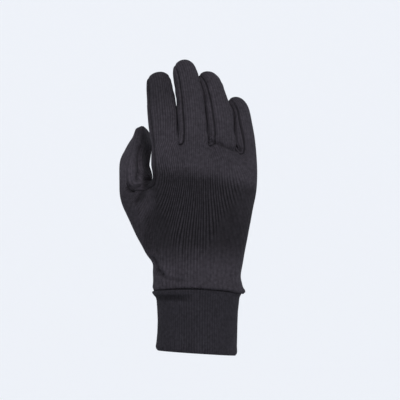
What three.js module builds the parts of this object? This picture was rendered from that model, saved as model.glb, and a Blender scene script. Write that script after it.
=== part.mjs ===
// A right-hand knitted glove liner, filled as if worn: back of the hand to -Y, palm to +Y, fingers
// up (+Z), thumb to -X. It is sewn from a back panel and a palm panel, each covering all five
// digits, four gussets that run up the sides of the digits and round the forks between them, and
// a folded cuff. The origin is the middle of the cuff's mouth. Millimetres.
import * as THREE from "three";

// Cloth and seams
const clothWall = 1.2;
const seamGap = 0.4;

// Cuff, a band folded double
const cuffWall = 2.4;
const cuffLength = 49.2;
const cuffWidth = 65;
const cuffDepth = 44;
const cuffMouthSlant = 4.1;
const cuffSeamSlant = 1.5;
const cuffSeamRise = 2.2;
const cuffSeamRoll = 1.6;

// Hand
const wristWidth = 71.5;
const wristDepth = 45;
const palmLength = 119;
const palmDepth = 33;
const palmArch = 4.5;
const littleForkDrop = 11;
const ulnarOffset = 5.4;
const forkClearance = 0.4;

// Sizes of the middle finger, which the other digits follow
const fingerLength = 75;
const fingerWidth = 22.8;

// Webs in hand order, thumb and index finger first: how deep each fork's U is and how far the
// web between back and palm rises, as shares of the middle finger's width; skew moves the
// deepest point towards the first digit
const webSag = [0.395, 0.22, 0.22, 0.22];
const webRise = [0.395, 0.24, 0.24, 0.24];
const webSkew = [0.75, 1, 1, 1];

// Digits in hand order. Length is from fork to tip as a share of the middle finger's; width and
// thick are shares of its width; depth is how far the fork lies towards the palm, as a share of
// the palm's depth. Slim is the share of its thickness that a digit loses towards the tip. In
// degrees from root to tip: lean is towards the little finger's side, curl towards the palm, and
// roll turns the digit's back towards the thumb's side. Gusset is the half angle that a gusset
// covers of the digit's girth, in degrees.
const digits = [
  {
    name: "thumb", length: 0.89, width: 1.03, thick: 1.26, depth: 0.6, slim: 0.46,
    lean: [-1, 16], curl: [26, 76], roll: [92, 98], gusset: 27,
  },
  {
    name: "index", length: 0.865, width: 0.98, thick: 0.91, depth: 0.045, slim: 0,
    lean: [-2.5, -7], curl: [14, 45], roll: [6, 8], gusset: 40,
  },
  {
    name: "middle", length: 1, width: 1, thick: 0.93, depth: 0, slim: 0,
    lean: [-2, -12], curl: [12, 46], roll: [0, 0], gusset: 40,
  },
  {
    name: "ring", length: 0.905, width: 0.95, thick: 0.88, depth: 0.1, slim: 0,
    lean: [-3.5, -19.5], curl: [12, 46], roll: [-8, -12], gusset: 40,
  },
  {
    name: "little", length: 0.655, width: 0.72, thick: 0.745, depth: 0.24, slim: 0,
    lean: [-5, -20], curl: [12, 38], roll: [-14, -18], gusset: 40,
  },
];

// Thumb's fork: its share of the palm's length, and how far out it stands from the index finger
const thumbForkShare = 0.72;
const thumbReach = 12.4;
const thumbRise = [-0.85, 0.4, 1];
const thumbBulge = 0.16;

// Share of the thumb's palm side that lies buried in the palm at the wrist, none at the fork
const thumbHidden = 0.5;

// A digit's width and thickness along it, and the gusset's half angle, as shares
const digitShape = [
  { at: 0, width: 1, thick: 1, gusset: 1 },
  { at: 0.1, width: 1, thick: 0.98, gusset: 1 },
  { at: 0.22, width: 0.99, thick: 0.95, gusset: 1 },
  { at: 0.35, width: 0.97, thick: 0.94, gusset: 1 },
  { at: 0.48, width: 0.95, thick: 0.93, gusset: 1 },
  { at: 0.6, width: 0.92, thick: 0.87, gusset: 1 },
  { at: 0.72, width: 0.89, thick: 0.82, gusset: 1 },
  { at: 0.83, width: 0.86, thick: 0.76, gusset: 0.9 },
  { at: 0.92, width: 0.76, thick: 0.64, gusset: 0.6 },
  { at: 0.975, width: 0.5, thick: 0.42, gusset: 0 },
  { at: 1, width: 0, thick: 0, gusset: 0 },
];

// The palm's outline up its length: spread goes from the wrist's width (0) to the width over the
// four finger roots (1), depth is a share of the palm's depth, and square sets how boxy it is.
const palmShape = [
  { at: 0, spread: 0, depth: 1.42, arch: 0, square: 2.1 },
  { at: 0.08, spread: -0.2, depth: 1.36, arch: 0, square: 2.1 },
  { at: 0.2, spread: 0.08, depth: 1.29, arch: 0.1, square: 2.2 },
  { at: 0.35, spread: 0.31, depth: 1.12, arch: 0.35, square: 2.4 },
  { at: 0.5, spread: 0.57, depth: 1.02, arch: 0.7, square: 2.5 },
  { at: 0.66, spread: 0.85, depth: 0.96, arch: 1, square: 2.7 },
  { at: 0.82, spread: 1, depth: 0.86, arch: 1, square: 2.8 },
  { at: 0.93, spread: 1, depth: 0.74, arch: 1, square: 2.8 },
  { at: 1, spread: 1, depth: 0.66, arch: 1, square: 2.8 },
];

// Where each digit's strip starts on the wrist, as shares of its half round from the thumb's
// side, over the back and over the palm, where the thumb's strip is wider. Webs lie between.
const wristStrips = [
  { from: 0, to: 0.14, palmFrom: 0, palmTo: 0.24 },
  { from: 0.22, to: 0.37, palmFrom: 0.36, palmTo: 0.45 },
  { from: 0.4, to: 0.56, palmFrom: 0.47, palmTo: 0.6 },
  { from: 0.59, to: 0.75, palmFrom: 0.62, palmTo: 0.76 },
  { from: 0.78, to: 1, palmFrom: 0.79, palmTo: 1 },
];

const palmRows = 13;
const thumbForkRow = 8;
const digitColumns = 4;
const gussetColumns = 4;
const webColumns = [4, 2, 2, 2];
const relaxRounds = 16;
const relaxIn = 0.5;
const relaxOut = 0.49;

const lerp = THREE.MathUtils.lerp;
const rad = THREE.MathUtils.degToRad;
const smooth = (from, to, value) => THREE.MathUtils.smoothstep(value, from, to);

// The value of a column of a table at a share, between the rows on either side of it.
function tableValue(table, column, share) {
  const at = Math.min(Math.max(share, 0), 1);
  const next = Math.max(1, table.findIndex((row) => row.at >= at));
  const [low, high] = [table[next - 1], table[next]];
  return lerp(low[column], high[column], (at - low.at) / (high.at - low.at));
}

// The digits' shares as lengths
for (const digit of digits) {
  digit.length *= fingerLength;
  digit.width *= fingerWidth;
  digit.thick *= fingerWidth;
  digit.depth *= palmDepth;
}

// Half the width over the four finger roots, and the places of the roots across it
const fingers = digits.slice(1);
const knuckleHalf = (fingers.reduce((sum, d) => sum + d.width, 0) + 3 * forkClearance) / 2;
let across = ulnarOffset - knuckleHalf;
for (const finger of fingers) {
  finger.x = across + finger.width / 2;
  across += finger.width + forkClearance;
}

// How high the forks lie at a share -1 to 1 across the palm
const forkHeight = (share) => palmLength - littleForkDrop * Math.max(0, share) ** 2;

// The palm's closed outline at a level: angle 0 is the little finger's side, 90 the back, 180
// the thumb's side.
function palmPoint(level, angle) {
  const spread = tableValue(palmShape, "spread", level);
  const square = tableValue(palmShape, "square", level);
  const half = lerp(wristWidth / 2, knuckleHalf, spread);
  const c = Math.cos(rad(angle));
  const s = Math.sin(rad(angle));
  const round = (value) => Math.sign(value) * Math.abs(value) ** (2 / square);
  const shareX = round(c);
  const depth = (tableValue(palmShape, "depth", level) * palmDepth) / 2;
  const arch = palmArch * tableValue(palmShape, "arch", level) * shareX ** 2;
  const x = ulnarOffset * Math.max(spread, 0) + half * shareX;
  return new THREE.Vector3(x, arch - depth * round(s), seamHeight(angle) + level * forkHeight(shareX));
}

// The angle on the palm's outline that lies at a place across it
function palmAngle(level, x) {
  const spread = tableValue(palmShape, "spread", level);
  const half = lerp(wristWidth / 2, knuckleHalf, spread);
  const share = THREE.MathUtils.clamp((x - ulnarOffset * Math.max(spread, 0)) / half, -1, 1);
  const c = Math.sign(share) * Math.abs(share) ** (tableValue(palmShape, "square", level) / 2);
  return THREE.MathUtils.radToDeg(Math.acos(c));
}

// Height of the seam between cuff and hand, and of the cuff's mouth, round the wrist
function seamHeight(angle) {
  const back = Math.sin(rad(angle));
  return cuffLength - (cuffSeamSlant / 2) * Math.cos(rad(angle)) + cuffSeamRise * Math.max(0, back) ** 2;
}

const mouthHeight = (angle) => (-cuffMouthSlant / 2) * Math.cos(rad(angle));

// Direction of a digit's axis at a share of its length, and the frame across it
function digitFrame(digit, share) {
  const lean = rad(lerp(...digit.lean, share));
  const curl = rad(lerp(...digit.curl, share));
  const along = new THREE.Vector3(Math.sin(lean), Math.cos(lean) * Math.sin(curl), Math.cos(lean) * Math.cos(curl));
  const side = new THREE.Vector3(1, 0, 0).addScaledVector(along, -along.x).normalize();
  const roll = new THREE.Quaternion().setFromAxisAngle(along, -rad(lerp(...digit.roll, share)));
  side.applyQuaternion(roll);
  return { along, side, back: side.clone().cross(along) };
}

// Adds to each digit its fork place, its axis as a function of the share along it, and its root
for (const [order, digit] of digits.entries()) {
  const isThumb = order === 0;
  const level = isThumb ? thumbForkShare : 1;
  const x = isThumb ? fingers[0].x - fingers[0].width / 2 - thumbReach : digit.x;
  const share = (digit.x - ulnarOffset) / knuckleHalf;
  const height = isThumb ? level * palmLength : forkHeight(share);
  digit.forkRow = isThumb ? thumbForkRow : palmRows;
  digit.fork = new THREE.Vector3(x, digit.depth, cuffLength + height);
  const wristAngle = 180 * (1 - (wristStrips[order].from + wristStrips[order].to) / 2);
  digit.root = palmPoint(0, wristAngle).multiply(new THREE.Vector3(0.7, 0, 1));
  digit.rise = isThumb ? new THREE.Vector3(...thumbRise).normalize() : new THREE.Vector3(0, 0, 1);
}

function digitAxis(digit, share) {
  const place = digit.fork.clone();
  const steps = 24;
  for (let i = 0; i < steps; i++)
    place.addScaledVector(digitFrame(digit, (share * (i + 0.5)) / steps).along, (share * digit.length) / steps);
  return place;
}

// A point on a digit's tube: angle 0 is the little finger's side, 90 its back, 180 the thumb's side
function tubePoint(digit, share, angle) {
  const { side, back } = digitFrame(digit, share);
  const width = (digit.width / 2) * tableValue(digitShape, "width", share);
  const thick = (digit.thick / 2) * (1 - digit.slim * share) * tableValue(digitShape, "thick", share);
  return digitAxis(digit, share)
    .addScaledVector(side, width * Math.cos(rad(angle)))
    .addScaledVector(back, thick * Math.sin(rad(angle)));
}

// The same tube carried on inside the palm, from the wrist (0) to the fork (1)
function rootPoint(digit, share, angle) {
  const reach = digit.fork.distanceTo(digit.root);
  const first = digitFrame(digit, 0);
  const curve = new THREE.CubicBezierCurve3(
    digit.root,
    digit.root.clone().addScaledVector(digit.rise, reach / 3),
    digit.fork.clone().addScaledVector(first.along, -reach / 3),
    digit.fork,
  );
  const turn = new THREE.Quaternion().setFromAxisAngle(first.along, rad(digit.roll[0]) * (1 - share));
  const bulge = digit.name === "thumb" ? 1 + thumbBulge * Math.sin(Math.PI * share) : 1;
  const width = (digit.width / 2) * digitShape[0].width * bulge;
  const thick = (digit.thick / 2) * digitShape[0].thick * bulge;
  return curve
    .getPoint(share)
    .addScaledVector(first.side.clone().applyQuaternion(turn), width * Math.cos(rad(angle)))
    .addScaledVector(first.back.clone().applyQuaternion(turn), thick * Math.sin(rad(angle)));
}

const rowLevel = (row) =>
  row <= thumbForkRow
    ? (thumbForkShare * row) / thumbForkRow
    : lerp(thumbForkShare, 1, (row - thumbForkRow) / (palmRows - thumbForkRow));

// A point of the hand at a row: below the fork the palm's outline turns into the digit's tube
function handPoint(digit, row, palmTurn, tubeTurn) {
  const share = Math.min(row / digit.forkRow, 1);
  const merge = digit.name === "thumb" ? smooth(0.04, 0.92, share) : smooth(0.68, 1, share);
  const palm = palmPoint(rowLevel(row), palmTurn);
  return merge === 0 ? palm : palm.lerp(rootPoint(digit, share, tubeTurn), merge);
}

// The outline angles of a digit's strip at a row, from the thumb's side to the little finger's
function stripAngle(order, row, share, face) {
  const digit = digits[order];
  const { from, to, palmFrom, palmTo } = wristStrips[order];
  const atWrist = 180 * (1 - (face > 0 ? lerp(from, to, share) : lerp(palmFrom, palmTo, share)));
  if (order === 0) return atWrist;
  const edge = Math.cos(rad(tubeAngle(order, 0, share)));
  const atFork = palmAngle(1, digit.x + (digit.width / 2) * edge);
  return lerp(atWrist, atFork, smooth(0, 1, rowLevel(row)));
}

// The tube angles of a digit's strip on its back. The thumb's and little finger's outer edges
// are side seams, with no gusset.
function tubeAngle(order, along, share) {
  const gusset = digits[order].gusset * tableValue(digitShape, "gusset", along);
  const first = order === 0 ? 180 : 180 - gusset;
  const last = order === digits.length - 1 ? 0 : gusset;
  return lerp(first, last, share);
}

const tipRows = digitShape.length - 1;

// A point of a digit's strip: face 1 is the back, -1 the palm side. Rows past the fork climb
// the digit.
function stripPoint(order, row, share, face) {
  const digit = digits[order];
  if (row <= digit.forkRow) {
    const turn = stripAngle(order, row, share, face);
    const hidden = order === 0 && face < 0 ? thumbHidden * (1 - smooth(0.35, 1, row / digit.forkRow)) : 0;
    return handPoint(digit, row, face * turn, face * lerp(tubeAngle(order, 0, share), 180, hidden * share));
  }
  const along = digitShape[row - digit.forkRow].at;
  return tubePoint(digit, along, face * tubeAngle(order, along, share));
}

// A point of the web between two digits: straight across, sagging to the U of the fork
function webPoint(order, row, share, face) {
  const top = digits[order].forkRow;
  const left = stripPoint(order, row, 1, face);
  const right = stripPoint(order + 1, row, 0, face);
  const width = left.distanceTo(right);
  const depth = Math.min(0.55 * width, webSag[order] * fingerWidth) * smooth(top - 2.5, top, row);
  const sag = depth * Math.sin(Math.PI * share ** webSkew[order]);
  return left.lerp(right, share).addScaledVector(new THREE.Vector3(0, 0, -1), sag);
}

// The pieces of cloth as welded meshes of four-sided faces
const pool = { points: [], keys: new Map(), hold: [] };
function weld(point, hold) {
  const key = [point.x, point.y, point.z].map((value) => Math.round(value * 1e3)).join();
  if (!pool.keys.has(key)) {
    pool.keys.set(key, pool.points.length);
    pool.points.push(point);
    pool.hold.push(hold);
  }
  return pool.keys.get(key);
}

// Lays a grid of points, given by a function of row and column, into a piece
function layGrid(faces, rows, columns, pointAt, holdAt, flip) {
  const ids = [];
  for (let r = 0; r <= rows; r++) {
    ids.push([]);
    for (let c = 0; c <= columns; c++) ids[r].push(weld(pointAt(r, c), holdAt(r, c)));
  }
  for (let r = 0; r < rows; r++)
    for (let c = 0; c < columns; c++) {
      const face = [ids[r][c], ids[r][c + 1], ids[r + 1][c + 1], ids[r + 1][c]];
      faces.push(flip ? face.reverse() : face);
    }
}

// How freely a point relaxes: not at the wrist seam, most round the forks, little on the digits
function freedom(order, row) {
  const past = row - digits[order].forkRow;
  const climb = 1 - smooth(0, 4, past);
  return smooth(0, 2, row) * Math.max(climb, 0);
}

function makePanel(face) {
  const faces = [];
  digits.forEach((digit, order) => {
    layGrid(
      faces,
      digit.forkRow + tipRows,
      digitColumns,
      (r, c) => stripPoint(order, r, c / digitColumns, face),
      (r) => freedom(order, r),
      face < 0,
    );
    if (order + 1 === digits.length) return;
    const columns = webColumns[order];
    layGrid(
      faces,
      digit.forkRow,
      columns,
      (r, c) => webPoint(order, r, c / columns, face),
      (r) => freedom(order, r),
      face < 0,
    );
  });
  return faces;
}

// A gusset: down the side of one digit, round the fork, and up the side of the next
function makeGusset(order) {
  const [left, right] = [digits[order], digits[order + 1]];
  const top = left.forkRow;
  const endRow = tipRows - 1;
  const leftRows = endRow;
  const rightRows = right.forkRow + endRow - top;
  const columns = webColumns[order];
  const turnAt = (digit, along, c) =>
    digit.gusset * tableValue(digitShape, "gusset", along) * (1 - (2 * c) / gussetColumns);
  const rise = digitFrame(left, 0).along.clone().add(digitFrame(right, 0).along).normalize();
  const pointAt = (r, c) => {
    if (r <= leftRows) {
      const along = digitShape[leftRows - r].at;
      return r === leftRows
        ? handPoint(left, top, 0, turnAt(left, 0, c))
        : tubePoint(left, along, turnAt(left, along, c));
    }
    const past = r - leftRows;
    if (past < columns) {
      const [back, front] = [1, -1].map((face) => webPoint(order, top, past / columns, face));
      const c0 = c / gussetColumns;
      const lift = webRise[order] * fingerWidth * Math.sin(Math.PI * c0);
      return back.lerp(front, c0).addScaledVector(rise, lift);
    }
    const row = top + past - columns;
    if (row > right.forkRow) {
      const along = digitShape[row - right.forkRow].at;
      return tubePoint(right, along, 180 - turnAt(right, along, c));
    }
    const [back, palm] = [1, -1].map((face) => stripAngle(order + 1, row, 0, face));
    const palmTurn = lerp(back, 360 - palm, c / gussetColumns);
    return handPoint(right, row, palmTurn, 180 - turnAt(right, 0, c));
  };
  const faces = [];
  const holdAt = (r) => (r <= leftRows ? freedom(order, top + leftRows - r) : freedom(order + 1, top + r - leftRows - columns));
  layGrid(faces, leftRows + columns + rightRows, gussetColumns, pointAt, holdAt, true);
  return faces;
}

const pieces = {
  back_panel: makePanel(1),
  palm_panel: makePanel(-1),
  thumb_gusset: makeGusset(0),
  index_gusset: makeGusset(1),
  middle_gusset: makeGusset(2),
  ring_gusset: makeGusset(3),
};

// Stretch cloth settles: each free point moves towards the middle of its neighbours, then a
// little further back, which evens out ripples and keeps the digits' girth
function relax(points, faceLists, hold, rounds) {
  const near = points.map(() => new Set());
  for (const face of faceLists.flat())
    face.forEach((id, i) => {
      const next = face[(i + 1) % face.length];
      if (id === next) return;
      near[id].add(next);
      near[next].add(id);
    });
  for (let round = 0; round < 2 * rounds; round++) {
    const step = round % 2 === 0 ? relaxIn : -relaxOut;
    const moved = points.map((point, id) => {
      const mean = new THREE.Vector3();
      for (const other of near[id]) mean.addScaledVector(points[other], 1 / near[id].size);
      return point.clone().lerp(mean, step * hold[id]);
    });
    moved.forEach((point, id) => points[id].copy(point));
  }
}

relax(pool.points, Object.values(pieces), pool.hold, relaxRounds);

// Splits faces into triangles and drops those with a repeated corner
function triangles(faces) {
  const found = [];
  for (const [a, b, c, d] of faces)
    for (const t of [[a, b, c], [a, c, d]]) if (new Set(t).size === 3) found.push(t);
  return found;
}

// Normals of the whole glove, so that pieces that meet at a seam turn inwards alike
const normals = pool.points.map(() => new THREE.Vector3());
for (const [a, b, c] of Object.values(pieces).flatMap(triangles)) {
  const [p, q, r] = [a, b, c].map((id) => pool.points[id]);
  const normal = q.clone().sub(p).cross(r.clone().sub(p));
  for (const id of [a, b, c]) normals[id].add(normal);
}
for (const normal of normals) normal.normalize();

// A closed solid from one piece of cloth: its outer face, its inner face, and walls at its edges,
// which draw back from the seams.
function clothSolid(faces) {
  const tris = triangles(faces);
  const edges = new Map();
  for (const t of tris) t.forEach((id, i) => edges.set(id + "," + t[(i + 1) % 3], [id, t[(i + 1) % 3]]));
  const rim = [...edges.values()].filter(([a, b]) => !edges.has(b + "," + a));
  const used = [...new Set(tris.flat())];
  const outer = new Map(used.map((id) => [id, pool.points[id].clone()]));
  const pull = new Map(rim.flat().map((id) => [id, new THREE.Vector3()]));
  for (const [a, b] of rim) {
    const along = pool.points[b].clone().sub(pool.points[a]);
    const normal = normals[a].clone().add(normals[b]);
    const inward = normal.cross(along).normalize();
    pull.get(a).add(inward);
    pull.get(b).add(inward);
  }
  for (const [id, direction] of pull) outer.get(id).addScaledVector(direction.normalize(), seamGap / 2);
  const index = new Map(used.map((id, i) => [id, i]));
  const position = [];
  for (const id of used) position.push(...outer.get(id).toArray());
  for (const id of used) position.push(...outer.get(id).clone().addScaledVector(normals[id], -clothWall).toArray());
  const under = (id) => index.get(id) + used.length;
  const corner = [];
  for (const [a, b, c] of tris) {
    corner.push(index.get(a), index.get(b), index.get(c));
    corner.push(under(a), under(c), under(b));
  }
  for (const [a, b] of rim) {
    corner.push(index.get(b), index.get(a), under(a));
    corner.push(index.get(b), under(a), under(b));
  }
  const geometry = new THREE.BufferGeometry();
  geometry.setAttribute("position", new THREE.Float32BufferAttribute(position, 3));
  geometry.setIndex(corner);
  geometry.computeVertexNormals();
  return geometry;
}

// The cuff's wall, row by row round its section: height is a share of its length, outset a
// distance beyond the cloth's outer face as a share of the seam roll.
const cuffProfile = [
  { height: 0.02, outset: 0.35, inner: false },
  { height: 0.12, outset: 0, inner: false },
  { height: 0.4, outset: -0.3, inner: false },
  { height: 0.7, outset: -0.1, inner: false },
  { height: 0.88, outset: 0.1, inner: false },
  { height: 0.95, outset: 0.9, inner: false },
  { height: 1, outset: 0.3, inner: false },
  { height: 1, outset: 0.3, inner: true },
  { height: 0.9, outset: 0, inner: true },
  { height: 0.5, outset: -0.2, inner: true },
  { height: 0.02, outset: 0, inner: true },
  { height: 0, outset: 0.1, inner: false, fold: true },
];

const cuffSides = 40;

function makeCuff() {
  const position = [];
  for (const row of cuffProfile)
    for (let i = 0; i < cuffSides; i++) {
      const angle = (360 * i) / cuffSides;
      const inset = row.fold ? cuffWall / 2 : row.inner ? cuffWall : 0;
      const grow = row.outset * cuffSeamRoll - inset;
      const level = smooth(0.75, 1.05, row.height);
      const half = lerp(cuffWidth, wristWidth, level) / 2 + grow;
      const depth = lerp(cuffDepth, wristDepth, level) / 2 + grow;
      const z = lerp(mouthHeight(angle), seamHeight(angle) - seamGap, row.height);
      position.push(half * Math.cos(rad(angle)), -depth * Math.sin(rad(angle)), z);
    }
  const corner = [];
  const rows = cuffProfile.length;
  for (let r = 0; r < rows; r++)
    for (let i = 0; i < cuffSides; i++) {
      const [j, s] = [(i + 1) % cuffSides, (r + 1) % rows];
      const [a, b, c, d] = [r * cuffSides + i, r * cuffSides + j, s * cuffSides + j, s * cuffSides + i];
      corner.push(a, c, b, a, d, c);
    }
  const geometry = new THREE.BufferGeometry();
  geometry.setAttribute("position", new THREE.Float32BufferAttribute(position, 3));
  geometry.setIndex(corner);
  geometry.computeVertexNormals();
  return geometry;
}

const knit = new THREE.MeshStandardMaterial({ color: 0x2b292d, roughness: 0.9, metalness: 0 });
const band = new THREE.MeshStandardMaterial({ color: 0x28262a, roughness: 0.92, metalness: 0 });

const glove = new THREE.Group();
for (const [name, faces] of Object.entries(pieces)) {
  const mesh = new THREE.Mesh(clothSolid(faces), knit);
  mesh.name = name;
  glove.add(mesh);
}
const cuff = new THREE.Mesh(makeCuff(), band);
cuff.name = "cuff";
glove.add(cuff);

export default glove;
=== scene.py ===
import bpy
import numpy as np
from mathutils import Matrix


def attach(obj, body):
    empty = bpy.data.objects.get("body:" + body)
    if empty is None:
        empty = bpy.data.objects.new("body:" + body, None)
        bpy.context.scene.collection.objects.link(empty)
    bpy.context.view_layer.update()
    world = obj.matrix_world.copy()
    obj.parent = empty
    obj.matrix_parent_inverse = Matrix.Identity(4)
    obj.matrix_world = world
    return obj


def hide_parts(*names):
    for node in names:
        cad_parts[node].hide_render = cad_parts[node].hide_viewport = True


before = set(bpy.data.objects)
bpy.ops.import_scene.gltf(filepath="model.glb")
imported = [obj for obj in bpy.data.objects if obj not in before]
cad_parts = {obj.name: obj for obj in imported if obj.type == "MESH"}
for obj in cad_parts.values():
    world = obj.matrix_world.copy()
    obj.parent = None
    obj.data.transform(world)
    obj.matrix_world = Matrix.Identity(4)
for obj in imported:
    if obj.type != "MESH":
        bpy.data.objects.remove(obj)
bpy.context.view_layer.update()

# Camera: level with the middle of the glove and far in front of the back of the hand, with a
# long lens, so that the glove stands upright in the square picture with hardly any perspective.
camera_distance = 4.0
picture_height = 0.32
camera_aim = (0.0024, 0, 0.1224)

lens = bpy.data.cameras.new("camera")
lens.sensor_width = 36
lens.lens = 36 * camera_distance / picture_height
lens.clip_end = 30
camera = bpy.data.objects.new("camera", lens)
camera.location = (camera_aim[0], -camera_distance, camera_aim[2])
camera.rotation_euler = (np.pi / 2, 0, 0)
bpy.context.scene.collection.objects.link(camera)
bpy.context.scene.camera = camera


# Hand cloth: six cut pieces of one black stretch knit, sewn edge to edge. A back and a palm panel
# cover the hand and its five digits, and four gussets run up the digits' sides and round the forks
# between them. Each seam lies turned in, between soft rolls. Lengths here are in millimetres.
cloth_wall = 1.2
cuff_length = 49.2
cuff_seam_slant = 1.5
cuff_seam_rise = 2.2
wrist_width = 71.5
wrist_inset = [0.7, 0, 1]
palm_length = 119
palm_depth = 33
palm_arch = 4.5
little_fork_drop = 11
ulnar_offset = 5.4
fork_clearance = 0.4
finger_length = 75
finger_width = 22.8
web_sag = [0.395, 0.22, 0.22, 0.22]
web_rise = [0.395, 0.24, 0.24, 0.24]
web_skew = [0.75, 1, 1, 1]
web_steepest = 0.55
web_rows = 2.5
thumb_fork_share = 0.72
thumb_reach = 12.4
thumb_rise = [-0.85, 0.4, 1]
thumb_bulge = 0.16
thumb_hidden = 0.5
thumb_hidden_from = 0.35
fork_seam_reach = 0.13
palm_rows = 13
thumb_fork_row = 8
digit_columns = 4
gusset_columns = 4
web_columns = [4, 2, 2, 2]
curl_steps = 24

# Digits in hand order, as shares of the middle finger's sizes and of the palm's depth; angles in
# degrees from root to tip, gusset's from the digit's side to the seam on the palm, and seams' to
# the seams on the back, at the thumb's and the little finger's side. Merge is where, on its way
# from the wrist to its fork, the palm's outline turns into the digit's.
digits = [
    dict(name="thumb", length=0.89, width=1.03, thick=1.26, depth=0.6, slim=0.46,
         lean=(-1, 16), curl=(26, 76), roll=(92, 98), gusset=27, seams=(0, 13.5),
         merge=(0.04, 0.92)),
    dict(name="index", length=0.865, width=0.98, thick=0.91, depth=0.045, slim=0,
         lean=(-2.5, -7), curl=(14, 45), roll=(6, 8), gusset=40,
         seams=(40, 14), merge=(0.68, 1)),
    dict(name="middle", length=1, width=1, thick=0.93, depth=0, slim=0,
         lean=(-2, -12), curl=(12, 46), roll=(0, 0), gusset=40,
         seams=(50, 16), merge=(0.68, 1)),
    dict(name="ring", length=0.905, width=0.95, thick=0.88, depth=0.1, slim=0,
         lean=(-3.5, -19.5), curl=(12, 46), roll=(-8, -12), gusset=40,
         seams=(54, 18), merge=(0.68, 1)),
    dict(name="little", length=0.655, width=0.72, thick=0.745, depth=0.24, slim=0,
         lean=(-5, -20), curl=(12, 38), roll=(-14, -18), gusset=40,
         seams=(54, 0), merge=(0.68, 1)),
]
last_digit = len(digits) - 1

# A digit's width, thickness and gusset along it, and the palm's outline from the wrist up
digit_shape = dict(
    at=[0, 0.1, 0.22, 0.35, 0.48, 0.6, 0.72, 0.83, 0.92, 0.975, 1],
    width=[1, 1, 0.99, 0.97, 0.95, 0.92, 0.89, 0.86, 0.76, 0.5, 0],
    thick=[1, 0.98, 0.95, 0.94, 0.93, 0.87, 0.82, 0.76, 0.64, 0.42, 0],
    gusset=[1, 1, 1, 1, 1, 1, 1, 0.9, 0.6, 0, 0],
)
palm_shape = dict(
    at=[0, 0.08, 0.2, 0.35, 0.5, 0.66, 0.82, 0.93, 1],
    spread=[0, -0.2, 0.08, 0.31, 0.57, 0.85, 1, 1, 1],
    depth=[1.42, 1.36, 1.29, 1.12, 1.02, 0.96, 0.86, 0.74, 0.66],
    arch=[0, 0, 0.1, 0.35, 0.7, 1, 1, 1, 1],
    square=[2.1, 2.1, 2.2, 2.4, 2.5, 2.7, 2.8, 2.8, 2.8],
)
# Each digit's strip on the wrist, as shares of the half round: over the back, then the palm
wrist_strips = [
    (0, 0.14, 0, 0.24), (0.22, 0.37, 0.36, 0.45), (0.4, 0.56, 0.47, 0.6),
    (0.59, 0.75, 0.62, 0.76), (0.78, 1, 0.79, 1),
]


def mix(low, high, share):
    """low plus share times the way to high."""
    return low + (high - low) * share


def smooth(low, high, value):
    """0 up to low, 1 from high, and 3t^2 - 2t^3 between, t being the share of the way."""
    t = np.clip((value - low) / (high - low), 0, 1)
    return t * t * (3 - 2 * t)


def bell(value, width):
    """A bell curve: e to minus the square of the value over the width."""
    return np.exp(-(value / width) ** 2)


def column(table, name, share):
    """A table's column at a share, straight between its rows."""
    return np.interp(share, table["at"], table[name])


def unit(vector):
    """The vector over its length."""
    return vector / np.linalg.norm(vector, axis=-1, keepdims=True)


for digit in digits:
    digit["length"] *= finger_length
    digit["width"] *= finger_width
    digit["thick"] *= finger_width
    digit["depth"] *= palm_depth
finger_widths = [digit["width"] for digit in digits[1:]]
knuckle_half = (sum(finger_widths) + 3 * fork_clearance) / 2
across = ulnar_offset - knuckle_half
for digit in digits[1:]:
    digit["x"] = across + digit["width"] / 2
    across += digit["width"] + fork_clearance


def fork_height(share):
    """Height of the forks over the seam: it drops with the square of the share past the middle."""
    return palm_length - little_fork_drop * np.maximum(0, share) ** 2


def seam_height(angle):
    """Height of the cuff's seam at an angle round the wrist: a slant, and a rise over the back."""
    turn = np.radians(angle)
    slant = cuff_length - cuff_seam_slant / 2 * np.cos(turn)
    return slant + cuff_seam_rise * np.maximum(0, np.sin(turn)) ** 2


def superpower(value, square):
    """Signed value to the power 2 / square, which makes a circle boxy."""
    value = np.round(value, 7)
    return np.sign(value) * np.abs(value) ** (2 / square)


def palm_point(level, angle):
    """A boxy ellipse at each level, whose ends lie further towards the palm by the arch; angle 0
    is the little finger's side, 90 the back, 180 the thumb's side."""
    level, angle = np.broadcast_arrays(level, angle)
    spread = column(palm_shape, "spread", level)
    square = column(palm_shape, "square", level)
    half = mix(wrist_width / 2, knuckle_half, spread)
    share_x = superpower(np.cos(np.radians(angle)), square)
    share_y = superpower(np.sin(np.radians(angle)), square)
    depth = column(palm_shape, "depth", level) * palm_depth / 2
    arch = palm_arch * column(palm_shape, "arch", level) * share_x ** 2
    x = ulnar_offset * np.maximum(spread, 0) + half * share_x
    z = seam_height(angle) + level * fork_height(share_x)
    return np.stack([x, arch - depth * share_y, z], -1)


def palm_angle(x):
    """The angle on the outline at the fork's level that lies at a place x."""
    share = np.clip((x - ulnar_offset) / knuckle_half, -1, 1)
    c = np.sign(share) * np.abs(share) ** (palm_shape["square"][-1] / 2)
    return np.degrees(np.arccos(c))


def digit_frame(digit, share):
    """Three square directions at a share of a digit: along it, by lean and curl; across it, which
    is X made square to along and turned by the roll; and out of its back."""
    share = np.asarray(share, float)
    lean, curl, roll = (np.radians(mix(*digit[key], share)) for key in ("lean", "curl", "roll"))
    along = np.stack(
        [np.sin(lean), np.cos(lean) * np.sin(curl), np.cos(lean) * np.cos(curl)], -1)
    side = unit(np.array([1.0, 0, 0]) - along * along[..., :1])
    side = side * np.cos(roll)[..., None] - np.cross(along, side) * np.sin(roll)[..., None]
    return along, side, np.cross(side, along)


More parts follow.
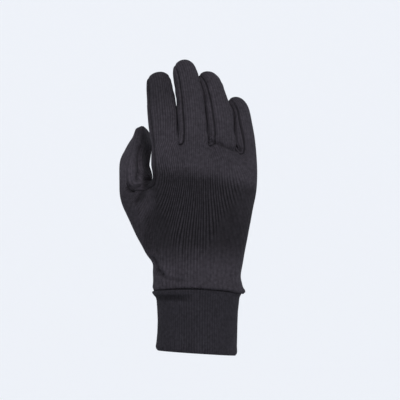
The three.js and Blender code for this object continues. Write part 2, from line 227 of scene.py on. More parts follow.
for order, digit in enumerate(digits):
    thumb = order == 0
    digit["row"] = thumb_fork_row if thumb else palm_rows
    share = 0 if thumb else (digit["x"] - ulnar_offset) / knuckle_half
    height = thumb_fork_share * palm_length if thumb else fork_height(share)
    x = digits[1]["x"] - digits[1]["width"] / 2 - thumb_reach if thumb else digit["x"]
    digit["fork"] = np.array([x, digit["depth"], cuff_length + height])
    wrist_angle = 180 * (1 - (wrist_strips[order][0] + wrist_strips[order][1]) / 2)
    digit["root"] = palm_point(0.0, wrist_angle) * wrist_inset
    digit["rise"] = unit(np.array(thumb_rise if thumb else [0.0, 0, 1]))


def tube_point(digit, share, angle):
    """A digit's surface: the fork, plus the direction along it summed up over even steps, plus an
    ellipse across it by the shape table; angle 0 is the little finger's side, 90 the back."""
    share, angle = np.broadcast_arrays(np.asarray(share, float), angle)
    steps = (np.arange(curl_steps) + 0.5) / curl_steps
    travel = digit_frame(digit, share[..., None] * steps)[0].mean(-2)
    axis = digit["fork"] + travel * share[..., None] * digit["length"]
    side, back = digit_frame(digit, share)[1:]
    width = digit["width"] / 2 * column(digit_shape, "width", share)
    thick = digit["thick"] / 2 * (1 - digit["slim"] * share) * column(digit_shape, "thick", share)
    turn = np.radians(angle)
    return (axis + side * (width * np.cos(turn))[..., None]
            + back * (thick * np.sin(turn))[..., None])


def root_point(digit, share, angle):
    """The digit's ellipse carried on inside the palm: a cubic curve from the wrist to the fork,
    on which the roll builds up, and for the thumb a swelling by the sine of the share."""
    share, angle = np.broadcast_arrays(np.asarray(share, float), angle)
    t = share[..., None]
    along, side, back = digit_frame(digit, 0)
    reach = np.linalg.norm(digit["fork"] - digit["root"])
    first = digit["root"] + digit["rise"] * reach / 3
    second = digit["fork"] - along * reach / 3
    curve = ((1 - t) ** 3 * digit["root"] + 3 * (1 - t) ** 2 * t * first
             + 3 * (1 - t) * t ** 2 * second + t ** 3 * digit["fork"])
    roll = np.radians(digit["roll"][0]) * (1 - t)
    side = side * np.cos(roll) + np.cross(along, side) * np.sin(roll)
    back = back * np.cos(roll) + np.cross(along, back) * np.sin(roll)
    swell = 1 + (thumb_bulge * np.sin(np.pi * t) if digit["name"] == "thumb" else 0 * t)
    turn = np.radians(angle)[..., None]
    return (curve + side * digit["width"] / 2 * swell * np.cos(turn)
            + back * digit["thick"] / 2 * swell * np.sin(turn))


def row_level(row):
    """Share of the palm's length at a row: even up to the thumb's fork, and even above it."""
    rows = [0, thumb_fork_row, palm_rows]
    return np.interp(row, rows, [0, thumb_fork_share, 1])


def hand_point(digit, row, palm_turn, tube_turn):
    """The palm's outline, turning into the digit's own tube as the row nears its fork."""
    share = np.minimum(row / digit["row"], 1)
    merge = smooth(*digit["merge"], share)[..., None]
    palm = palm_point(row_level(row), palm_turn)
    return mix(palm, root_point(digit, share, tube_turn), merge)


def seam_turn(digit, along, side):
    """Angle from a digit's side to the seam on its back, shrinking to nothing at the tip; at the
    little finger's side it doubles round the fork, as a bell curve."""
    widen = 1 + side * bell(np.asarray(along), fork_seam_reach)
    return digit["seams"][side] * widen * column(digit_shape, "gusset", along)


def tube_angle(order, along, share, face):
    """Angle on a digit's back or palm side between its gussets, or out to its side seam on the
    outer digits."""
    digit = digits[order]
    palm = digit["gusset"] * column(digit_shape, "gusset", along)
    first, last = (seam_turn(digit, along, side) if face > 0 else palm for side in (0, 1))
    first = 0 if order == 0 else first
    last = 0 if order == last_digit else last
    return mix(180 - first, last, share)


def strip_angle(order, row, share, face):
    """Angle on the palm's outline of a digit's strip: from its share of the wrist to its place
    over the finger's root."""
    first, last = wrist_strips[order][:2] if face > 0 else wrist_strips[order][2:]
    at_wrist = 180 * (1 - mix(first, last, share))
    if order == 0:
        return at_wrist
    edge = np.cos(np.radians(tube_angle(order, 0, share, face)))
    at_fork = palm_angle(digits[order]["x"] + digits[order]["width"] / 2 * edge)
    return mix(at_wrist, at_fork, smooth(0, 1, row_level(row)))


tip_rows = len(digit_shape["at"]) - 1


def strip_point(order, row, share, face):
    """A digit's strip of a panel: over the hand up to the fork, then up the digit. Face 1 is the
    back, -1 the palm, where the thumb's strip tucks in towards its outer side at the root."""
    digit = digits[order]
    row, share = np.broadcast_arrays(row, np.asarray(share, float))
    low = np.minimum(row, digit["row"])
    hidden = 0 * share
    if order == 0 and face < 0:
        hidden = thumb_hidden * (1 - smooth(thumb_hidden_from, 1, low / digit["row"]))
    tube_turn = mix(tube_angle(order, 0, share, face), 180, hidden * share)
    hand = hand_point(digit, low, face * strip_angle(order, low, share, face), face * tube_turn)
    along = np.array(digit_shape["at"])[np.clip(row - digit["row"], 0, tip_rows)]
    tube = tube_point(digit, along, face * tube_angle(order, along, share, face))
    return np.where((row <= digit["row"])[..., None], hand, tube)


def web_point(order, row, share, face):
    """Straight across between two digits' strips, less a sag that grows to the U of the fork."""
    top = digits[order]["row"]
    left = strip_point(order, row, 1, face)
    right = strip_point(order + 1, row, 0, face)
    width = np.linalg.norm(right - left, axis=-1)
    depth = np.minimum(web_steepest * width, web_sag[order] * finger_width)
    depth = depth * smooth(top - web_rows, top, row)
    sag = depth * np.sin(np.pi * share ** web_skew[order])
    return mix(left, right, share[..., None]) - sag[..., None] * [0, 0, 1]


def gusset_grid(order):
    """A gusset: down the side of one digit, across the web of the fork, and up the next digit."""
    left, right = digits[order], digits[order + 1]
    at = np.array(digit_shape["at"])
    share = np.arange(gusset_columns + 1)[None, :] / gusset_columns

    def turn(digit, along):
        palm = digit["gusset"] * column(digit_shape, "gusset", along)
        return mix(seam_turn(digit, along, int(digit is left)), -palm, share)

    down = at[tip_rows - 1:0:-1, None]
    first = tube_point(left, down, turn(left, down))
    root = hand_point(left, np.full_like(share, left["row"]), 0 * share, turn(left, 0 * share))
    past = np.arange(1, web_columns[order])[:, None] / web_columns[order]
    back, front = (web_point(order, np.full(past.shape, left["row"]), past, f) for f in (1, -1))
    rise = unit(digit_frame(left, 0)[0] + digit_frame(right, 0)[0])
    lift = web_rise[order] * finger_width * np.sin(np.pi * share)
    web = mix(back, front, share[..., None]) + lift[..., None] * rise
    row = np.arange(left["row"], right["row"] + 1)[:, None] + 0 * share
    edges = [strip_angle(order + 1, row, 0 * share, f) for f in (1, -1)]
    up = hand_point(right, row, mix(edges[0], 360 - edges[1], share), 180 - turn(right, 0 * row))
    climb = at[1:tip_rows, None]
    last = tube_point(right, climb, 180 - turn(right, climb))
    return np.concatenate([first, root, web, up, last])


def freedom(order, row):
    """How freely a point settles: 0 at the wrist, 1 round the fork, 0 again up the digit."""
    return smooth(0, 2, row) * (1 - smooth(0, 4, row - digits[order]["row"]))


def girth(points):
    """Distance travelled over each row of a grid, from its first column to each column."""
    step = np.linalg.norm(np.diff(points, axis=1), axis=-1)
    return np.concatenate([np.zeros((len(points), 1)), np.cumsum(step, 1)], 1)


# How closely the wales, the knit's ribs, lie over the hand, at distances across it from the one
# that runs straight; between which levels they turn even; and how they fan out to the wrist
wales = dict(at=[-80, -40, -30, -21, -11, -2, 8, 18, 28, 80],
             close=[0.5, 0.6, 0.82, 1.23, 1.23, 1.2, 1.1, 0.8, 0.6, 0.6])
straight_wale = 5.0
wales_even = (0.72, 0.98)
fan_spread = 0.4
fan_levels = (0.85, 0.25)


def wale_place(distance, level):
    """The distance times how closely the wales lie, summed up from the straight wale; above the
    knuckles it is the distance itself. A fan spreads the wales towards the wrist."""
    distance = distance - straight_wale
    steps = np.arange(wales["at"][0], wales["at"][-1] + 1)
    place = np.cumsum(column(wales, "close", steps))
    place = np.interp(distance, steps, place - np.interp(0, steps, place))
    fan = 1 - fan_spread * smooth(*fan_levels, level)
    return mix(place, distance, smooth(*wales_even, level)) * fan


def wales_across(strips, webs):
    """Where each wale lies across a panel, from the distance over the cloth to the middle
    finger's middle. The thumb's share is laid on at its side."""
    at_row, start = {}, 0
    for order in range(1, len(digits)):
        at_row["strip", order] = start + girth(strips[order][:palm_rows + 1])
        start = at_row["strip", order][:, -1:]
        if order < last_digit:
            at_row["web", order] = start + girth(webs[order])
            start = at_row["web", order][:, -1:]
    level = row_level(np.arange(palm_rows + 1))[:, None]
    middle = at_row["strip", 2][:, digit_columns // 2, None].copy()
    for key in at_row:
        at_row[key] = wale_place(at_row[key] - middle, level)
    low = slice(0, thumb_fork_row + 1)
    first = at_row["strip", 1][low, :1]
    for kind, points in (("web", webs[0]), ("strip", strips[0][low])):
        back = girth(points[:, ::-1])[:, ::-1]
        at_row[kind, 0] = first - back
        first = at_row[kind, 0][:, :1]
    return at_row


def knit_at(across, along):
    """The knit's coordinates over a grid: each row's or point's place across, and each row's
    along."""
    return np.stack(np.broadcast_arrays(across, along[:, None]), -1)


# The grids: points, how freely each row settles, the piece it belongs to, whether its faces turn
# over, and the knit's own coordinates, across the wales and along them
piece_names = ["back_panel", "palm_panel", "thumb_gusset", "index_gusset", "middle_gusset",
               "ring_gusset"]
grids = []
strip_share = np.linspace(0, 1, digit_columns + 1)[None, :]
for piece, face in enumerate((1, -1)):
    strips, webs = [], []
    for order, digit in enumerate(digits):
        rows = np.arange(digit["row"] + tip_rows + 1)
        strips.append(strip_point(order, rows[:, None], strip_share, face))
        if order < last_digit:
            share = np.linspace(0, 1, web_columns[order] + 1)[None, :]
            webs.append(web_point(order, rows[:digit["row"] + 1, None], share, face))
    across_rows = wales_across(strips, webs)
    for order, digit in enumerate(digits):
        rows = np.arange(len(strips[order]))
        at = np.array(digit_shape["at"])[np.clip(rows - digit["row"], 0, tip_rows)]
        along = row_level(np.minimum(rows, digit["row"])) * palm_length + at * digit["length"]
        knit = knit_at(across_rows["strip", order][np.minimum(rows, digit["row"])], along)
        grids.append((strips[order], freedom(order, rows), piece, face < 0, knit))
        if order < last_digit:
            rows = rows[:digit["row"] + 1]
            knit = knit_at(across_rows["web", order], along[rows])
            grids.append((webs[order], freedom(order, rows), piece, face < 0, knit))
for order in range(last_digit):
    points = gusset_grid(order)
    left, right = digits[order], digits[order + 1]
    left_rows = tip_rows - 1
    count = np.arange(len(points))
    hold = np.where(
        count <= left_rows, freedom(order, left["row"] + left_rows - count),
        freedom(order + 1, left["row"] + count - left_rows - web_columns[order]))
    middle = points[:, gusset_columns // 2]
    length = np.r_[0, np.cumsum(np.linalg.norm(np.diff(middle, axis=0), axis=-1))]
    width = np.radians(2 * left["gusset"]) * (left["width"] + left["thick"]) / 4
    knit = knit_at(np.linspace(-width / 2, width / 2, gusset_columns + 1), length)
    grids.append((points, hold, 2 + order, True, knit))


def sew(grids):
    """Joins the grids where their points agree to a thousandth, and lists the four-sided faces.
    A side that has shrunk to a point leaves a face with one corner less."""
    stacked = np.concatenate([grid[0].reshape(-1, 3) for grid in grids])
    _, first, back = np.unique(np.round(stacked, 3), axis=0, return_index=True,
                               return_inverse=True)
    hold = np.concatenate([np.repeat(grid[1], grid[0].shape[1]) for grid in grids])[first]
    faces, pieces, knits, start = [], [], [], 0
    for points, _, piece, turned, knit in grids:
        ids = start + np.arange(points[..., 0].size).reshape(points.shape[:2])
        quads = np.stack([ids[:-1, :-1], ids[:-1, 1:], ids[1:, 1:], ids[1:, :-1]], -1)
        quads = quads.reshape(-1, 4)
        quads = quads[:, ::-1] if turned else quads
        faces.append(back.ravel()[quads])
        knits.append(knit.reshape(-1, 2)[quads - start])
        pieces.append(np.full(len(quads), piece))
        start += ids.size
    return (stacked[first], hold, np.concatenate(faces), np.concatenate(pieces),
            np.concatenate(knits))


points, hold, faces, piece_of, knit = sew(grids)
corner_used = faces != np.roll(faces, -1, axis=1)
whole = corner_used.sum(1) >= 3
faces, piece_of, knit, corner_used = (a[whole] for a in (faces, piece_of, knit, corner_used))


class Cloth:
    """A net of faces with three or four corners, kept corner by corner: each one's face, point,
    values, next and previous corner, and the edge to the next; and each edge's ends, and how many
    faces it has."""

    def __init__(self, faces, used, piece_of, values):
        count = used.sum(1)
        self.face = np.repeat(np.arange(len(faces)), count)
        self.vertex = faces[used]
        self.values = values[used]
        self.start = np.r_[0, np.cumsum(count)[:-1]]
        self.count = count
        self.piece_of = piece_of
        place = np.arange(len(self.face)) - self.start[self.face]
        size = count[self.face]
        self.next = self.start[self.face] + (place + 1) % size
        self.prev = self.start[self.face] + (place - 1) % size
        pairs = np.sort(np.stack([self.vertex, self.vertex[self.next]], -1), axis=1)
        self.ends, self.edge = np.unique(pairs, axis=0, return_inverse=True)
        self.edge = self.edge.ravel()
        self.sides = np.bincount(self.edge)


def total(values, index, size):
    """Sums rows of values that share an index."""
    return np.stack([np.bincount(index, values[:, k], size) for k in range(values.shape[1])], -1)


def refine(cloth, points):
    """One step of Catmull and Clark: face points are means of corners, edge points means of the
    ends and the two face points, and each old point moves to (F + 2R + (n - 3)P) / n. An open
    edge keeps its own middle, and its points move to an eighth, six eighths, an eighth."""
    n, e, f = len(points), len(cloth.ends), len(cloth.count)
    centre = total(points[cloth.vertex], cloth.face, f) / cloth.count[:, None]
    ends = points[cloth.ends]
    middle = ends.mean(1)
    inner = total(centre[cloth.face], cloth.edge, e) / cloth.sides[:, None]
    open_edge = cloth.sides == 1
    edge_point = np.where(open_edge[:, None], middle, (middle + inner) / 2)
    valence = np.bincount(cloth.vertex, minlength=n)[:, None]
    around = total(centre[cloth.face], cloth.vertex, n) / valence
    spokes = np.bincount(cloth.ends.ravel(), minlength=n)[:, None]
    reach = total(np.repeat(middle, 2, axis=0), cloth.ends.ravel(), n) / spokes
    moved = (around + 2 * reach + (valence - 3) * points) / valence
    rim = cloth.ends[open_edge]
    rim_sum = total(middle[open_edge].repeat(2, axis=0), rim.ravel(), n)
    on_rim = np.bincount(rim.ravel(), minlength=n) > 0
    moved[on_rim] = (points[on_rim] * 2 + rim_sum[on_rim]) / 4
    new_points = np.concatenate([moved, edge_point, centre])
    quads = np.stack([cloth.vertex, n + cloth.edge, n + e + cloth.face,
                      n + cloth.edge[cloth.prev]], -1)
    values = cloth.values
    mean = total(values, cloth.face, f) / cloth.count[:, None]
    half = (values + values[cloth.next]) / 2
    new_values = np.stack([values, half, mean[cloth.face], half[cloth.prev]], 1)
    piece_of = cloth.piece_of[cloth.face]
    return Cloth(quads, np.ones(quads.shape, bool), piece_of, new_values), new_points


def settle(points, cloth, hold, rounds=16, inward=0.5, outward=0.49):
    """Moves each free point towards the mean of its neighbours, then almost as far back."""
    near = np.bincount(cloth.ends.ravel(), minlength=len(points))[:, None]
    for step in [inward, -outward] * rounds:
        total_near = total(points[cloth.ends[:, ::-1].ravel()], cloth.ends.ravel(), len(points))
        points = points + (total_near / near - points) * (step * hold)[:, None]
    return points


def to_segments(points, starts, ends):
    """Least distance from each point to a set of straight segments."""
    least = np.full(len(points), 1e9)
    for a, b in zip(starts, ends):
        along = b - a
        t = np.clip((points - a) @ along / max(along @ along, 1e-9), 0, 1)
        least = np.minimum(least, np.linalg.norm(points - a - t[:, None] * along, axis=-1))
    return least


cloth = Cloth(faces, corner_used, piece_of, np.concatenate([knit, 0 * knit], -1))
points = settle(points, cloth, hold)

# Distance to the gussets' seams and to the side seams between back and palm, corner by corner,
# next to the knit's coordinates
first_piece = np.full(len(cloth.ends), len(piece_names))
last_piece = np.full(len(cloth.ends), -1)
np.minimum.at(first_piece, cloth.edge, cloth.piece_of[cloth.face])
np.maximum.at(last_piece, cloth.edge, cloth.piece_of[cloth.face])
for value, kind in ((2, last_piece > 1), (3, last_piece == 1)):
    ends = cloth.ends[(first_piece != last_piece) & kind]
    away = to_segments(points, points[ends[:, 0]], points[ends[:, 1]])
    cloth.values[:, value] = away[cloth.vertex]

# The net is swelled so that the refined surface goes through its points
swollen = points
for _ in range(2):
    finer, moved = refine(cloth, swollen)
    finer, moved = refine(finer, moved)
    swollen = swollen + points - moved[:len(points)]
points = swollen
for _ in range(3):
    cloth, points = refine(cloth, points)
quads = cloth.vertex.reshape(-1, 4)


def normals_of(points, quads):
    """The sum, at each point, of the cross products of its faces' diagonals, made unit."""
    cross = np.cross(points[quads[:, 2]] - points[quads[:, 0]],
                     points[quads[:, 3]] - points[quads[:, 1]])
    return unit(total(np.repeat(cross, 4, axis=0), quads.ravel(), len(points)) + 1e-12)


def ripple(points, pitch, seed):
    """A soft random field: the mean of eight sine waves of about one pitch, in directions and
    phases drawn from the seed."""
    draw = np.random.default_rng(seed)
    waves = unit(draw.normal(size=(8, 3))) * 2 * np.pi / pitch * draw.uniform(0.7, 1.3, (8, 1))
    return np.sin(points @ waves.T + draw.uniform(0, 2 * np.pi, 8)).mean(1) * 2


def corner_least(value):
    """Each point's least value over its corners."""
    least = np.full(len(points), 1e9)
    np.minimum.at(least, cloth.vertex, cloth.values[:, value])
    return least


# Digits press together up to the height where they part: the facing sides bulge to meet half way,
# most above the fork, and come forward beside the line where they meet. Each has its order, the
# heights of the last full touch and of the first gap, and how far forward it comes.
partings = [(1, 194, 200, 8), (2, 190, 204, 9), (3, 180, 196, 13)]
fork_blend = (-3, 1)
bulge_reach = 3.2
bulge_more = 0.5
fork_bulge, fork_bulge_at, fork_bulge_reach = 2.2, 4, 5
contact_cross = 0.06
contact_range = 9
contact_width = 1.2
forward_depth = 9
at = np.array(digit_shape["at"])[:-1]
touching = np.zeros(len(points))
for order, shut, open_, forward in partings:
    left = tube_point(digits[order], at, 0 * at)
    right = tube_point(digits[order + 1], at, 180 + 0 * at)
    x, y, z = points.T
    left_x, right_x = (np.interp(z, line[:, 2], line[:, 0]) for line in (left, right))
    meet, half = (left_x + right_x) / 2, (right_x - left_x) / 2
    away = x - meet
    fork = digits[order]["fork"][2]
    zone = smooth(*fork_blend, z - fork) * (1 - smooth(shut, open_, z))
    reach = bell(np.maximum(np.abs(away) - half, 0), bulge_reach) * zone
    shut_by = half + bulge_more + fork_bulge * bell(z - fork - fork_bulge_at, fork_bulge_reach)
    closer = np.maximum(np.abs(away) - shut_by * reach, -contact_cross)
    closer = np.where(np.abs(away) < contact_range, closer, np.abs(away))
    touching = np.maximum(touching, zone * bell(closer, contact_width))
    points[:, 0] = meet + np.sign(away) * closer
    front = np.clip((np.interp(z, right[:, 2], right[:, 1]) - y) / forward_depth, 0, 1)
    points[:, 1] -= forward * front * (1 - front) * reach

# Soft pushes in the front view: place and reach in x and z, and the shift, which fades as a bell
# curve; its depth only moves what faces the front
pushes = [
    (-39.5, 197, 8, 30, (-2.0, 0, 0)), (-61, 153, 10, 11, (-2.4, 0, 0)),
    (-37, 72, 7, 6, (2.4, 0, 0)), (-11, 232, 12, 9, (0, 0, 1.6)),
    (-22, 214, 4, 12, (-0.6, 0, 0)), (40, 197, 6, 14, (1.9, 0, 0.4)),
    (47, 138, 9, 22, (1.1, 0, 0)), (-56, 104, 7, 14, (1.1, 0, 0)),
    (-53.5, 133, 6, 9, (0, 0, -5)), (-44, 148, 5, 16, (-3.4, 0, 0)),
    (-52, 152, 7, 18, (0, -2.5, 0)), (-40, 155, 4, 22, (0, 4, 0)),
    (-48, 179, 4, 4, (-1.2, 0, 0.6)), (28.5, 192, 4, 9, (1.3, 0, 0)),
    (-40.5, 165, 3, 6.5, (3.7, 0, 0)), (-40.5, 141.5, 3.5, 6, (3.3, 0, 0)),
    (-39.5, 149.5, 2, 3, (-1.2, 0, 0)), (35, 49, 8, 4, (0.6, 0, -1.4)),
    (35, 168, 4, 12, (1.5, 0, 0)), (33.5, 162, 5, 5, (0, 0, -2)),
]
facing = smooth(-0.1, 0.5, -normals_of(points, quads)[:, 1])
moves = np.stack([np.ones(len(points)), facing, np.ones(len(points))], -1)
for at_x, at_z, reach_x, reach_z, shift in pushes:
    push = bell(points[:, 0] - at_x, reach_x) * bell(points[:, 2] - at_z, reach_z)
    points += push[:, None] * np.array(shift) * moves

# The digits' tips and the gussets' ends, where the strips run together, are smoothed
tips, ends = (np.concatenate([tube_point(digit, along, [0, 180]) for digit in digits])
              for along in (1, digit_shape["at"][-2]))
from_tip, from_end = (np.linalg.norm(points[:, None] - some, axis=-1).min(1)
                      for some in (tips, ends))
free = np.maximum(1 - smooth(3, 9, from_tip), 1 - smooth(2, 6, from_end))
points = settle(points, cloth, free, 12, 0.5, 0.3)

# Relief, along the normals: the seams lie in grooves between rolls that pucker. Both are calmer
# towards the tips, the gussets' ends and the thumb's nail, and the grooves fade out on the thumb's
# narrow tip. A dent puckers the ring finger's fork, and the whole cloth is softly uneven.
groove_depth, groove_width, groove_stays = 0.85, 0.8, 0.2
roll_height, roll_at, roll_width, roll_pucker = 0.4, 2.0, 1.1, 0.7
side_depth, side_width = 0.3, 0.9
thumb_calm = 0.8
fork_x, fork_z, fork_reach_x, fork_reach_z, fork_pucker = 12.6, 170.5, 4, 3, 1.2
unevenness = 0.15
normal = normals_of(points, quads)
seam = corner_least(2)
side_seam = corner_least(3)
narrow = smooth(5, 16, np.linalg.norm(points - ends[0], axis=-1))
calm = np.minimum(np.minimum(smooth(3, 16, from_tip), smooth(1, 7, from_end)), narrow)
thumb_back = bell(points[:, 0] + 54, 9) * smooth(135, 144, points[:, 2])
calm = calm * (1 - thumb_calm * thumb_back)
relief = -mix(calm, narrow, groove_stays) * groove_depth * bell(seam, groove_width)
roll = roll_height * (1 + roll_pucker * ripple(points, 6, 3))
relief += calm * roll * bell(seam - roll_at, roll_width)
at_fork = bell(points[:, 0] - fork_x, fork_reach_x) * bell(points[:, 2] - fork_z, fork_reach_z)
relief += fork_pucker * ripple(points, 3.2, 11) * at_fork * facing
relief -= calm * side_depth * bell(side_seam, side_width)
relief += unevenness * ripple(points, 16, 5)

# Over the cuff the cloth turns in to the seam below a roll, from its plainest, at the thumb's side,
# to its fullest, at the little finger's side
height = np.where(points[:, 2] < 80, corner_least(1), 99)
fuller = (0.5 + 0.5 * np.sin(np.arctan2(points[:, 0], 8))) ** 3
turn_in = 1.3 + 1.1 * smooth(-34, 0, points[:, 0]) - 1.2 * fuller
relief -= turn_in * bell(height, mix(1.5, 0.75, fuller))
relief += mix(0.2, 2.6, fuller) * bell(height - mix(3.0, 1.5, fuller), 2.8)
relief += 1.3 * fuller * bell(height - 7, 5)

# Folds on the back, as lines in the front view: depth, width, how light the painted shade in the
# crease stays, and the points in x and z. Each is a groove with a lower roll on either side.
folds = [
    (1.6, 2.0, 0.15, [(-35.2, 75.5), (-32.6, 70.5), (-30.6, 66.5), (-28.2, 63.4)]),
    (0.9, 1.6, 0.35, [(-29, 65), (-26, 61.6), (-22, 59.4), (-17, 58.5), (-12, 58.6)]),
    (1.8, 1.3, 0.3, [(12, 169.4), (15.6, 168.2), (19, 166.6), (23.2, 165), (30.4, 162)]),
    (1.2, 1.5, 0.3, [(-46.4, 164), (-47.4, 155), (-47, 146), (-48, 140)]),
    (1.4, 1.0, 0.0, [(-54.4, 134.2), (-51.5, 132.6), (-48.5, 132.4), (-45.6, 133.4)]),
    (1.1, 1.2, 0.0, [(-55.6, 132.4), (-54, 130.2), (-50.6, 129.6)]),
    (0.9, 1.8, 0.1, [(-40, 137), (-42, 131.5), (-45.5, 126), (-48.5, 121.5)]),
]
fold_roll, fold_roll_at = 0.6, 2.2
front_view = points[:, [0, 2]]
in_front = smooth(0.1, 0.7, -normal[:, 1])
# Painted shade where little light gets in, as a distance in millimetres: near 0 in a seam or
# crease, 1 outside it
painted_shade_distance = np.minimum(seam + 3 * (1 - calm), 0.25 + 0.4 * height)
for depth, width, stays, line in folds:
    away = to_segments(front_view, np.array(line[:-1]), np.array(line[1:]))
    rolls = fold_roll * bell(away - fold_roll_at * width, width)
    relief += in_front * depth * (rolls - bell(away, width))
    painted_shade_distance = np.minimum(painted_shade_distance, stays + 0.5 * away / width + 2 * (1 - in_front))

# Painted shade between thumb and index finger, where less light gets in
hollow = np.array([(-42.5, 173), (-41, 162), (-40.5, 150), (-39.5, 139), (-41.2, 131), (-45, 124)])
hollow_width = 6
away = to_segments(front_view, hollow[:-1], hollow[1:])
painted_shade_distance = np.minimum(painted_shade_distance, 0.15 + away / hollow_width)

# The inner side lies a wall further in, along normals that are evened out across the seams
points = points + normal * (relief * (1 - touching))[:, None]
even = settle(normals_of(points, quads), cloth, np.ones(len(points)), 12, 0.6, 0)
inner_points = points - unit(even) * cloth_wall


class Term:
    """A shader socket in a sum: + - * and / add Math nodes, and node() adds any other."""

    def __init__(self, tree, socket=None):
        self.tree = tree
        self.socket = socket

    def node(self, kind, settings=None, sockets=None, output=0):
        """Adds a node of a kind, with its settings and its sockets' values or links, and gives
        one of its outputs."""
        made = self.tree.nodes.new("ShaderNode" + kind)
        for name, value in (settings or {}).items():
            setattr(made, name, value)
        for name, value in (sockets or {}).items():
            if isinstance(value, Term):
                self.tree.links.new(value.socket, made.inputs[name])
            else:
                made.inputs[name].default_value = value
        return Term(self.tree, made.outputs[output] if made.outputs else None)

    def other(self, output):
        """Another output of the same node."""
        return Term(self.tree, self.socket.node.outputs[output])

    def math(self, operation, *others):
        return self.node("Math", {"operation": operation}, dict(enumerate((self, *others))))

    def __add__(self, other):
        return self.math("ADD", other)

    def __sub__(self, other):
        return self.math("SUBTRACT", other)

    def __rsub__(self, other):
        return self.node("Math", {"operation": "SUBTRACT"}, {0: other, 1: self})

    def __mul__(self, other):
        return self.math("MULTIPLY", other)

    def __truediv__(self, other):
        return self.math("DIVIDE", other)

    def __abs__(self):
        return self.math("ABSOLUTE")

    __radd__ = __add__
    __rmul__ = __mul__

    def rise(self, low, high):
        """0 up to low, 1 from high, smooth between."""
        return self.node("MapRange", {"interpolation_type": "SMOOTHSTEP"},
                         {"Value": self, "From Min": low, "From Max": high})


def largest(term, *others):
    """The largest of several terms."""
    for other in others:
        term = term.math("MAXIMUM", other)
    return term


uv_scale = 100
v_slope = 0.6
loop_share = 0.25
mean_height = 0.58
mottle_size, mottle_low, mottle_more = 420.0, 0.4, 1.2
cloud_size, cloud_low, cloud_more = 45.0, 0.8, 0.4
# How dark the painted shade in seams, creases and hollows gets
painted_crease_shade = 0.5


def knit_material(name, light, dark, pitch, course, contrast, zone):
    """Jersey: wales as rounded ribs a pitch apart, each a stack of V-shaped loops a course apart,
    darker in the grooves between ribs, with painted shade in seams, creases and hollows from the
    seam attribute, and a light mottle. zone gives, from the place in millimetres, how far the
    colour is from dark (0), the knit under painted shade, to light (1), the knit in the light, and
    the ribs' contrast from its first value (0) to its second (1)."""
    material = bpy.data.materials.new(name)
    material.use_nodes = True
    material.node_tree.nodes.clear()
    start = Term(material.node_tree)
    uv = start.node("UVMap", {"uv_map": "knit"})
    plane = start.node("SeparateXYZ", None, {0: uv})
    across = plane * (uv_scale / pitch)
    along = plane.other(1) * (uv_scale / course)
    place = start.node("TexCoord", None, None, "Object")
    body = start.node("SeparateXYZ", None, {0: place})
    painted_light_share, plain = zone(*(body.other(k) * 1000 for k in range(3)))
    edge = abs(across.math("FRACT") - 0.5) * 2
    rib = 1 - edge * edge
    loop = ((along + edge * v_slope) * (2 * np.pi)).math("SINE") * 0.5 + 0.5
    height = rib * (1 - loop_share) + loop * rib * loop_share
    mottle = start.node("TexNoise", None, {"Vector": place, "Scale": mottle_size, "Detail": 3.0})
    cloud = start.node("TexNoise", None, {"Vector": place, "Scale": cloud_size, "Detail": 2.0})
    shade = 1 + (height - mean_height) * (contrast[0] + (contrast[1] - contrast[0]) * plain)
    shade = shade * (mottle_low + mottle * mottle_more) * (cloud_low + cloud * cloud_more)
    # Painted shade in seams, creases and hollows: the seam attribute is the distance from it, 0
    # darkest
    away = start.node("Attribute", {"attribute_name": "seam"}, None, "Fac")
    shade = shade * (painted_crease_shade + away.rise(0, 1.0) * (1 - painted_crease_shade))
    # The colour is mixed from the painted shade (dark) to the painted light (light)
    colour = start.node("Mix", {"data_type": "RGBA"},
                        {0: painted_light_share, 6: (*dark, 1), 7: (*light, 1)}, 2)
    colour = start.node("VectorMath", {"operation": "SCALE"}, {0: colour, "Scale": shade})
    bump = start.node("Bump", None, {"Strength": 0.55, "Distance": 0.0006, "Height": height})
    shader = start.node("BsdfPrincipled", None, {
        "Base Color": colour, "Roughness": 0.88, "Specular IOR Level": 0.05,
        "Sheen Weight": 0.02, "Sheen Roughness": 0.5, "Sheen Tint": (0.8, 0.8, 0.9, 1),
        "Normal": bump})
    start.node("OutputMaterial", None, {0: shader})
    return material


def hand_zone(x, y, z):
    """Painted light over the fingers, knuckles and thumb, painted shade over the back below them,
    and painted light again at both sides and towards the wrist; and with it how far the ribs stand
    out, which is most in a leaf shape over the dark part."""
    # The painted shade ends below the knuckles, on a line that falls and bends towards both sides
    from_middle = x + 5.6
    top = 144.4 - from_middle * 0.16 - from_middle * from_middle * 0.0018
    upper = (z - top).rise(-7, 8)
    wrist = 1 - z.rise(64, 92)
    # Below the thumb's foot its painted light reaches further over the back, as a painted highlight
    # on the ridge to the palm
    past = z.rise(106, 118) * (1 - z.rise(128, 134)) * 8
    thumb_side = 1 - (x - past).rise(-46, -39)
    thumb = thumb_side * (z.rise(124, 140) * 0.575 + z.rise(98, 120) * 0.1 + 0.325)
    palm = y.rise(0, 15)
    # Painted light over knuckles and fingers, wrist, thumb and little finger's side; palm side
    # evened to a middle tone
    light = largest(upper * 0.7, wrist * 0.7, thumb, x.rise(24, 46) * 0.17, palm * 0.47)
    # The index finger's tip is darker
    index_tip = z.rise(188, 208) * (1 - x.rise(-26, -21))
    light = light * (1 - index_tip * 0.45)
    # The leaf's middle line and half its width, up the hand
    middle = z.rise(85, 105) * 1.5 + z.rise(112, 132) * 5 - 4
    half = z.rise(70, 98) * 12 + z.rise(98, 124) * 13 + 6
    leaf = (abs(x - middle) / half).rise(0.8, 1.2)
    plain = largest(upper * 0.85, leaf, 1 - z.rise(56, 104), thumb_side, palm * 0.6)
    return light, plain - (1 - x.rise(-25, 5)) * 0.18


# The hand's knit under painted light (light) and under painted shade (dark)
hand_knit = knit_material("hand_knit", light=(0.0343, 0.0304, 0.0370),
                          dark=(0.0123, 0.0111, 0.0133), pitch=1.8, course=1.5,
                          contrast=(1.5, 0.16), zone=hand_zone)


